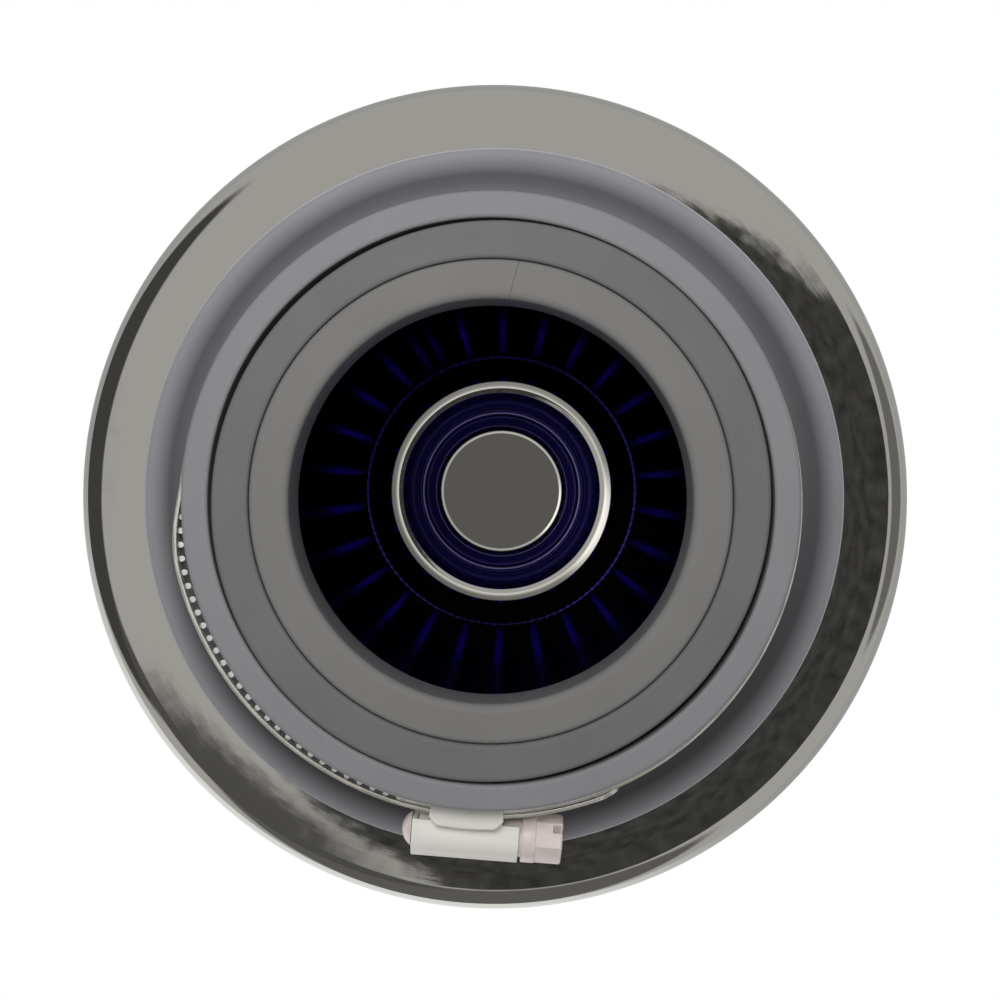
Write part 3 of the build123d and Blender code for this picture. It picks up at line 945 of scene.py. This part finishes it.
# %% Painted inner shade and open weave
# Shares from 0 to 1 at every point: how much painted shade darkens it, on the inner face only, and how
# far its weave lies open
OPEN_END_Z, OPEN_FADE, OPEN_AT_FOLDS = 62.0, 20.0, 0.72
SHADE_END_Z, SHADE_FADE, OPEN_ABOVE_SHADE = 105.0, 25.0, 0.7
turned_out = [out for _, out in fold_ring(1) for _ in range(FOLD_STEPS + 1)]
opened = gauze_mesh.attributes.new("opened_weave", "FLOAT", "POINT")
painted_inner_shade = gauze_mesh.attributes.new("painted_inner_shade", "FLOAT", "POINT")
for i, (_, _, z) in enumerate(verts):
    at = i % count
    round_fold = sin(pi * (at % (FOLD_STEPS + 1)) / FOLD_STEPS)
    fold_middle = 0.0 if turned_out[at] else min(1.0, 2 * round_fold)
    inner_shade_share = max(0.0, min(1.0, (SHADE_END_Z - z / MM) / SHADE_FADE))
    fold_share = max(0.0, min(1.0, (OPEN_END_Z - z / MM) / OPEN_FADE))
    opened.data[i].value = max(
        OPEN_AT_FOLDS * fold_middle * fold_share, OPEN_ABOVE_SHADE * (1 - inner_shade_share)
    )
    painted_inner_shade.data[i].value = inner_shade_share if i >= len(verts) // 2 else 0.0

# %% Gauze
gauze = bpy.data.objects.new("pleated_gauze", gauze_mesh)
bpy.context.scene.collection.objects.link(gauze)
settle(gauze, gauze_cloth, "gauze", "filter_gauze")

# %% [markdown]
# ## Wire screens
# Each screen is woven from thin wire. A see-through pattern on a sheet would be lighter, but seen
# along a fold it looks flat. So the wires are first drawn as bare lines on the folded surface: loops
# that follow the zigzag, and straight ones that run up the cone. A node tree then gives every line
# its thickness.

# %% Wire tree
wire_tree = bpy.data.node_groups.new("wire_screen", "GeometryNodeTree")
wire_tree.interface.new_socket("Lines", in_out="INPUT", socket_type="NodeSocketGeometry")
wire_tree.interface.new_socket("Wire diameter", in_out="INPUT", socket_type="NodeSocketFloat")
wire_tree.interface.new_socket("Sides", in_out="INPUT", socket_type="NodeSocketInt")
wire_tree.interface.new_socket("Finish", in_out="INPUT", socket_type="NodeSocketMaterial")
wire_tree.interface.new_socket("Screen", in_out="OUTPUT", socket_type="NodeSocketGeometry")
given = add(wire_tree, "NodeGroupInput").outputs
half = add(wire_tree, "ShaderNodeMath", {0: given["Wire diameter"], 1: 0.5}, operation="MULTIPLY")
section = add(
    wire_tree,
    "GeometryNodeCurvePrimitiveCircle",
    {"Resolution": given["Sides"], "Radius": half.outputs[0]},
)
paths = add(wire_tree, "GeometryNodeMeshToCurve", {"Mesh": given["Lines"]})
tubes = add(
    wire_tree,
    "GeometryNodeCurveToMesh",
    {"Curve": paths.outputs[0], "Profile Curve": section.outputs[0], "Fill Caps": True},
)
soft = add(wire_tree, "GeometryNodeSetShadeSmooth", {0: tubes.outputs[0]})
real = add(wire_tree, "GeometryNodeRealizeInstances", {0: soft.outputs[0]})
coated = add(
    wire_tree, "GeometryNodeSetMaterial", {"Geometry": real.outputs[0], "Material": given["Finish"]}
)
add(wire_tree, "NodeGroupOutput", {0: coated.outputs[0]})
print("wire tree has", len(wire_tree.nodes), "nodes")


# %% From a node tree to a plain mesh
def through_nodes(name, mesh, tree, values):
    """The plain mesh that a node tree makes of another, as a new object."""
    piece = bpy.data.objects.new(name, mesh)
    bpy.context.scene.collection.objects.link(piece)
    modifier = piece.modifiers.new(name, "NODES")
    modifier.node_group = tree
    for item in tree.interface.items_tree:
        if item.in_out == "INPUT" and item.name in values:
            modifier[item.identifier] = values[item.name]
    seen = piece.evaluated_get(bpy.context.evaluated_depsgraph_get())
    made = bpy.data.meshes.new_from_object(seen)
    piece.modifiers.remove(modifier)
    piece.data = made
    return piece


# %% Hem of the inner screen
HEM_T = 0.55
HEM_R, HEM_Z, HEM_TILT, HEM_KNOT, HEM_KNOTS = 36.4, 8.85, 0.3, 0.9, 110


def hem_lines(name):
    """Bare edges of the hem that closes the inner screen: a loop and its knots. It lies a little
    tilted on the potting and sinks into it on one side."""
    verts, edges = [], []
    for i in range(HEM_KNOTS):
        angle = 2 * pi * i / HEM_KNOTS
        z = HEM_Z + HEM_TILT * sin(angle)
        for r in (HEM_R, HEM_R - HEM_KNOT / 2, HEM_R + HEM_KNOT / 2):
            verts.append((r * cos(angle) * MM, r * sin(angle) * MM, z * MM))
        edges += [(3 * i, 3 * ((i + 1) % HEM_KNOTS)), (3 * i, 3 * i + 1), (3 * i, 3 * i + 2)]
    mesh = bpy.data.meshes.new(name)
    mesh.from_pydata(verts, edges, [])
    return mesh


def joined(piece, other):
    """One piece of two, with the finish of either."""
    finish = other.data.materials[-1]
    if finish.name not in piece.data.materials:
        piece.data.materials.append(finish)
    work = bmesh.new()
    work.from_mesh(piece.data)
    first = len(work.faces)
    work.from_mesh(other.data)
    work.faces.ensure_lookup_table()
    for face in work.faces[first:]:
        face.material_index = piece.data.materials.find(finish.name)
    work.to_mesh(piece.data)
    work.free()
    bpy.data.objects.remove(other)


# %% Lines of a screen
WIRE_T, WIRE_SHIFT = 0.25, 0.525
INNER_WIRE_T, INNER_SHIFT = 0.14, 0.47
WIRE_SIDES, BEND_STEPS = 4, 3
ROW_STEP, UPRIGHT_STEP = 1.75, 2.0
SCREEN_LOW, SCREEN_HIGH = 7.9, 149.0


def wire_lines(name, shift):
    """Bare edges of a screen: zigzag loops at even heights and uprights at even spacing."""
    verts, edges = [], []
    for k in range(int((SCREEN_HIGH - SCREEN_LOW) / ROW_STEP) + 1):
        z = SCREEN_LOW + k * ROW_STEP
        ring = lifted(zigzag(share_at(z), shift, BEND_STEPS), z)
        first = len(verts)
        verts += ring
        edges += [(first + i, first + (i + 1) % len(ring)) for i in range(len(ring))]
    low = zigzag(share_at(SCREEN_LOW), shift, BEND_STEPS)
    high = zigzag(share_at(SCREEN_HIGH), shift, BEND_STEPS)
    left = 0.0
    for i in range(len(high)):
        j = (i + 1) % len(high)
        length = (high[j] - high[i]).length
        while left < length:
            at = left / length
            edges.append((len(verts), len(verts) + 1))
            verts += lifted([low[i].lerp(low[j], at)], SCREEN_LOW)
            verts += lifted([high[i].lerp(high[j], at)], SCREEN_HIGH)
            left += UPRIGHT_STEP
        left -= length
    mesh = bpy.data.meshes.new(name)
    mesh.from_pydata(verts, edges, [])
    return mesh


# %% Inner and outer screens
for name, shift, node, finish, wire_t in (
    ("inner_wire_screen", -INNER_SHIFT, "inner_screen", shade_dark_inner_wire, INNER_WIRE_T),
    ("outer_wire_screen", WIRE_SHIFT, "outer_screen", outer_wire, WIRE_T),
):
    values = {"Wire diameter": wire_t * MM, "Sides": WIRE_SIDES, "Finish": finish}
    screen = through_nodes(name, wire_lines(name, shift), wire_tree, values)
    if node == "inner_screen":
        values |= {"Wire diameter": HEM_T * MM, "Finish": highlight_bright_hem_wire}
        joined(screen, through_nodes("hem", hem_lines("hem"), wire_tree, values))
    settle(screen, finish, "screen_wire", node)

# %% [markdown]
# ## Clamp
# The clamp's pressings have the right shape in the construction model, but their edges are sharp.
# They could be drawn again, but a copy of each whose edges are rounded keeps the shape and catches
# the light. On its inside the slotted strip has small ribs between the slots, where the thread for
# the worm was pressed in. They repeat along two arcs, so a node tree sets them out.

# %% Softened copies
MERGE, FLAT_ANGLE, SHARP_ANGLE, SHADE_ANGLE = 0.002 * MM, radians(1), radians(32), radians(40)


def softened(node, name, width):
    """A copy of a node's mesh with its sharp edges rounded."""
    work = bmesh.new()
    work.from_mesh(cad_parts[node].data)
    bmesh.ops.remove_doubles(work, verts=work.verts, dist=MERGE)
    bmesh.ops.dissolve_limit(work, angle_limit=FLAT_ANGLE, verts=work.verts, edges=work.edges)
    folded = [edge for edge in work.edges if len(edge.link_faces) == 2]
    sharp = [edge for edge in folded if edge.calc_face_angle() > SHARP_ANGLE]
    bmesh.ops.bevel(
        work,
        geom=sharp,
        offset=width * MM,
        offset_type="OFFSET",
        segments=2,
        profile=0.5,
        affect="EDGES",
        clamp_overlap=True,
    )
    mesh = bpy.data.meshes.new(name)
    work.to_mesh(mesh)
    work.free()
    mesh.materials.clear()
    mesh.shade_smooth()
    mesh.set_sharp_from_angle(angle=SHADE_ANGLE)
    piece = bpy.data.objects.new(name, mesh)
    bpy.context.scene.collection.objects.link(piece)
    return piece


# %% Rib tree
# A rib is a round bar, flattened across. Flat shading lets its top mirror the sky.
RIB_HALF_DEPTH, RIB_HALF_WIDTH, RIB_SIDES = 0.55 * MM, 0.48 * MM, 16
rib_tree = bpy.data.node_groups.new("strip_ribs", "GeometryNodeTree")
rib_tree.interface.new_socket("Geometry", in_out="INPUT", socket_type="NodeSocketGeometry")
rib_tree.interface.new_socket("Count", in_out="INPUT", socket_type="NodeSocketInt")
for name in ("Arc radius", "First angle", "Step angle", "Rib length"):
    rib_tree.interface.new_socket(name, in_out="INPUT", socket_type="NodeSocketFloat")
rib_tree.interface.new_socket("Arc centre", in_out="INPUT", socket_type="NodeSocketVector")
rib_tree.interface.new_socket("Finish", in_out="INPUT", socket_type="NodeSocketMaterial")
rib_tree.interface.new_socket("Ribs", in_out="OUTPUT", socket_type="NodeSocketGeometry")
given = add(rib_tree, "NodeGroupInput").outputs
number = add(rib_tree, "GeometryNodeInputIndex")
angle = add(
    rib_tree,
    "ShaderNodeMath",
    {0: number.outputs[0], 1: given["Step angle"], 2: given["First angle"]},
    operation="MULTIPLY_ADD",
)
across = add(rib_tree, "ShaderNodeMath", {0: angle.outputs[0]}, operation="COSINE")
along = add(rib_tree, "ShaderNodeMath", {0: angle.outputs[0]}, operation="SINE")
heading = add(rib_tree, "ShaderNodeCombineXYZ", {0: across.outputs[0], 1: along.outputs[0]})
reach = add(
    rib_tree,
    "ShaderNodeVectorMath",
    {0: heading.outputs[0], "Scale": given["Arc radius"]},
    operation="SCALE",
)
spot = add(
    rib_tree, "ShaderNodeVectorMath", {0: reach.outputs[0], 1: given["Arc centre"]}, operation="ADD"
)
spots = add(rib_tree, "GeometryNodePoints", {"Count": given["Count"], "Position": spot.outputs[0]})
turned = add(rib_tree, "ShaderNodeCombineXYZ", {2: angle.outputs[0]})
half = add(rib_tree, "ShaderNodeMath", {0: given["Rib length"], 1: 0.5}, operation="MULTIPLY")
size = add(
    rib_tree, "ShaderNodeCombineXYZ", {0: RIB_HALF_DEPTH, 1: RIB_HALF_WIDTH, 2: half.outputs[0]}
)
bar = add(
    rib_tree, "GeometryNodeMeshCylinder", {"Vertices": RIB_SIDES, "Radius": 1.0, "Depth": 2.0}
)
ribs = add(
    rib_tree,
    "GeometryNodeInstanceOnPoints",
    {
        "Points": spots.outputs[0],
        "Instance": bar.outputs[0],
        "Rotation": turned.outputs[0],
        "Scale": size.outputs[0],
    },
)
real = add(rib_tree, "GeometryNodeRealizeInstances", {0: ribs.outputs[0]})
coated = add(
    rib_tree, "GeometryNodeSetMaterial", {"Geometry": real.outputs[0], "Material": given["Finish"]}
)
add(rib_tree, "NodeGroupOutput", {0: coated.outputs[0]})
print("rib tree has", len(rib_tree.nodes), "nodes")

# %% Course of the strip
# The strip's loop hangs loose on the neck. At one side it leaves the neck in a straight run, bends,
# and then lies over its own start as a long lap. The stretches are tangent, which fixes the lap.
LOOP_R, LOOP_DROP, LAP_RISE = 49.2, 0.5, 0.7
RUN_TURN, RUN_LENGTH, BEND_R = radians(175), 10.0, 24.0
run_out = Vector((cos(RUN_TURN), sin(RUN_TURN)))
run_along = Vector((-sin(RUN_TURN), cos(RUN_TURN)))
bend_centre = Vector((0, -LOOP_DROP)) + run_out * (LOOP_R - BEND_R) + run_along * RUN_LENGTH
lap_foot = -LOOP_DROP - LOOP_R - LAP_RISE
bend_foot = lap_foot + BEND_R
lap_y = (bend_centre.length_squared - bend_foot**2) / (2 * (bend_centre.y - bend_foot))
lap_r = lap_y - lap_foot
lap_start = atan2(bend_centre.y - lap_y, bend_centre.x)
print("lap of radius", lap_r, "mm round", lap_y, "mm")

# %% Slotted strip
BAND_MIDDLE, RIB_STEP, RIB_REACH, RIB_LENGTH = 183.0, 2.3, 0.5, 10.0
BEND_RIBS, LAP_RIBS = 5, 23
strip = softened("clamp_band", "slotted_strip", 0.12)
strip.data.materials.append(strip_steel)
# The ribs are evenly spaced, half a step to either side of the place where the bend meets the lap
for rib_count, arc_r, centre, steps_off in (
    (BEND_RIBS, BEND_R, bend_centre, 0.5 - BEND_RIBS),
    (LAP_RIBS, lap_r, Vector((0, lap_y)), 0.5),
):
    values = {
        "Count": rib_count,
        "Arc radius": (arc_r - RIB_REACH) * MM,
        "First angle": lap_start + steps_off * RIB_STEP / arc_r,
        "Step angle": RIB_STEP / arc_r,
        "Rib length": RIB_LENGTH * MM,
        "Arc centre": (centre.x * MM, centre.y * MM, BAND_MIDDLE * MM),
        "Finish": rib_steel,
    }
    joined(strip, through_nodes("strip_ribs", bpy.data.meshes.new("strip_ribs"), rib_tree, values))
settle(strip, strip_steel, "clamp_steel", "clamp_band")

# %% Saddle, housing and screw
for node, name, width in (
    ("clamp_saddle", "pressed_saddle", 0.4),
    ("clamp_housing", "pressed_housing", 0.5),
):
    settle(softened(node, name, width), housing_steel, "clamp_steel", node)
screw = softened("clamp_screw", "worm_screw", 0.3)
settle(screw, screw_steel, "screw_steel", "clamp_screw", body="clamp_screw")

# %% [markdown]
# ## Potting
# The construction model already has the right shape for the two cast rings of potting, and little
# of them shows, so they only get their finish.

# %% Potting
for name in ("cap_potting", "base_potting"):
    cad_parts[name].data.materials.clear()
    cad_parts[name].data.materials.append(potting)
    print(name, "has its finish")
